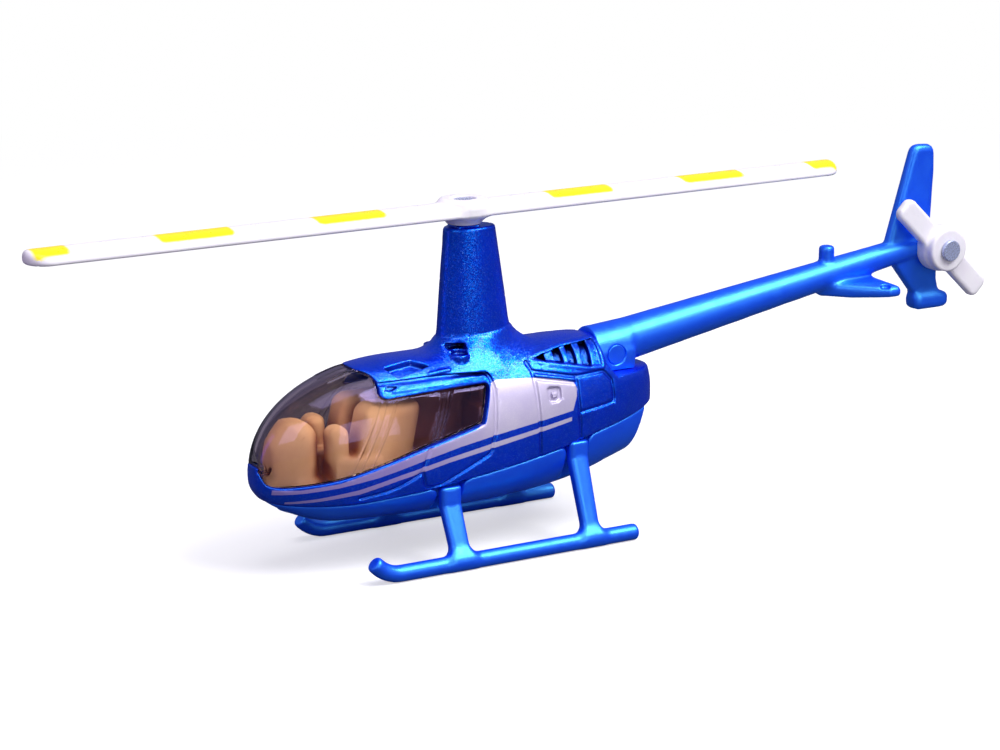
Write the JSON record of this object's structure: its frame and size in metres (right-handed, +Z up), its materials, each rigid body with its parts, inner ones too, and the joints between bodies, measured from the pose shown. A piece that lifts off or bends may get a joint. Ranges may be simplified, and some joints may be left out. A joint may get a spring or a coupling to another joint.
{
  "type": "toy helicopter",
  "caption": "Pocket-sized die-cast toy helicopter with tinted canopy, plastic belly, skids and tail boom, and freely spinning main and tail rotors.",
  "frame": {"origin": "centre of the bounding box in plan, on the ground plane under the skids", "axes": "nose towards -Y, the helicopter's left side towards +X, +Z up"},
  "size_m": [0.0202, 0.1198, 0.0392],
  "materials": {
    "flake_blue_paint": "glossy metallic flake enamel over die-cast zinc",
    "tinted_glass": "clear smoke-tinted polystyrene",
    "tan_plastic": "moulded tan plastic",
    "azure_plastic": "satin pearl-blue moulded plastic",
    "bright_steel": "bright plated steel",
    "white_plastic": "white moulded plastic with yellow printed bands"
  },
  "bodies": {
    "airframe": {"body_shell": "flake_blue_paint", "canopy": "tinted_glass", "cabin_interior": "tan_plastic", "belly_pan": "azure_plastic", "belly_rivets": "bright_steel", "skid_gear": "azure_plastic", "tail_boom": "azure_plastic", "boom_pin": "azure_plastic", "rotor_pin": "bright_steel", "tail_pin": "bright_steel"},
    "main_rotor_disc": {"main_rotor": "white_plastic"},
    "tail_rotor_disc": {"tail_rotor": "white_plastic"}
  },
  "joints": [
    {"name": "main_rotor_spin", "type": "hinge", "parent": "airframe", "child": "main_rotor_disc", "pos_m": [0, -0.00993, 0.0372], "axis": [0, 0, 1], "continuous": true},
    {"name": "tail_rotor_spin", "type": "hinge", "parent": "airframe", "child": "tail_rotor_disc", "pos_m": [0.0025, 0.05357, 0.0269], "axis": [1, 0, 0], "continuous": true}
  ]
}
